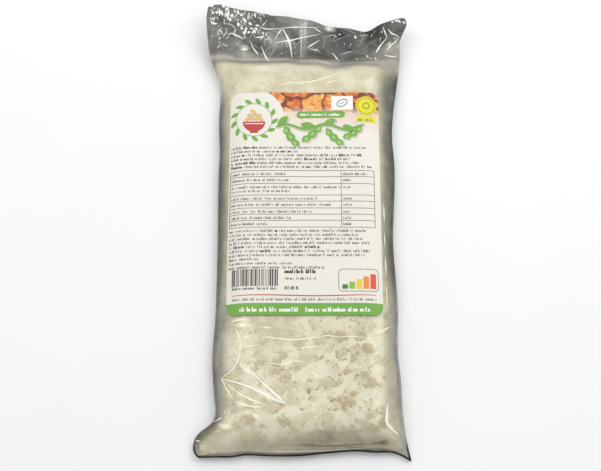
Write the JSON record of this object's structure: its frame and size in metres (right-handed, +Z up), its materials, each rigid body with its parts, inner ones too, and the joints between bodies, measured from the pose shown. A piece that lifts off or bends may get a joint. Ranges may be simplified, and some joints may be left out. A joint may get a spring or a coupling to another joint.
{
  "type": "tempeh cake sealed in a film bag",
  "caption": "Slab of tempeh sealed in a clear film bag with a paper label on top, a crumpled empty end and a back seam.",
  "frame": {"origin": "under the middle of the pack's bounding box, on the surface it lies on", "axes": "+X across the pack towards its right side, +Y along the pack from the sealed end towards the empty end of the bag, +Z up out of the label"},
  "size_m": [0.1342, 0.3024, 0.0173],
  "materials": {
    "film_over_cake": "clear glossy film over cream tempeh with pale tan beans, smoky grey where the bag is empty",
    "label_paper": "smooth printed label paper, off-white"
  },
  "bodies": {
    "root": {"bagged_cake": "film_over_cake", "label": "label_paper"}
  },
  "joints": []
}
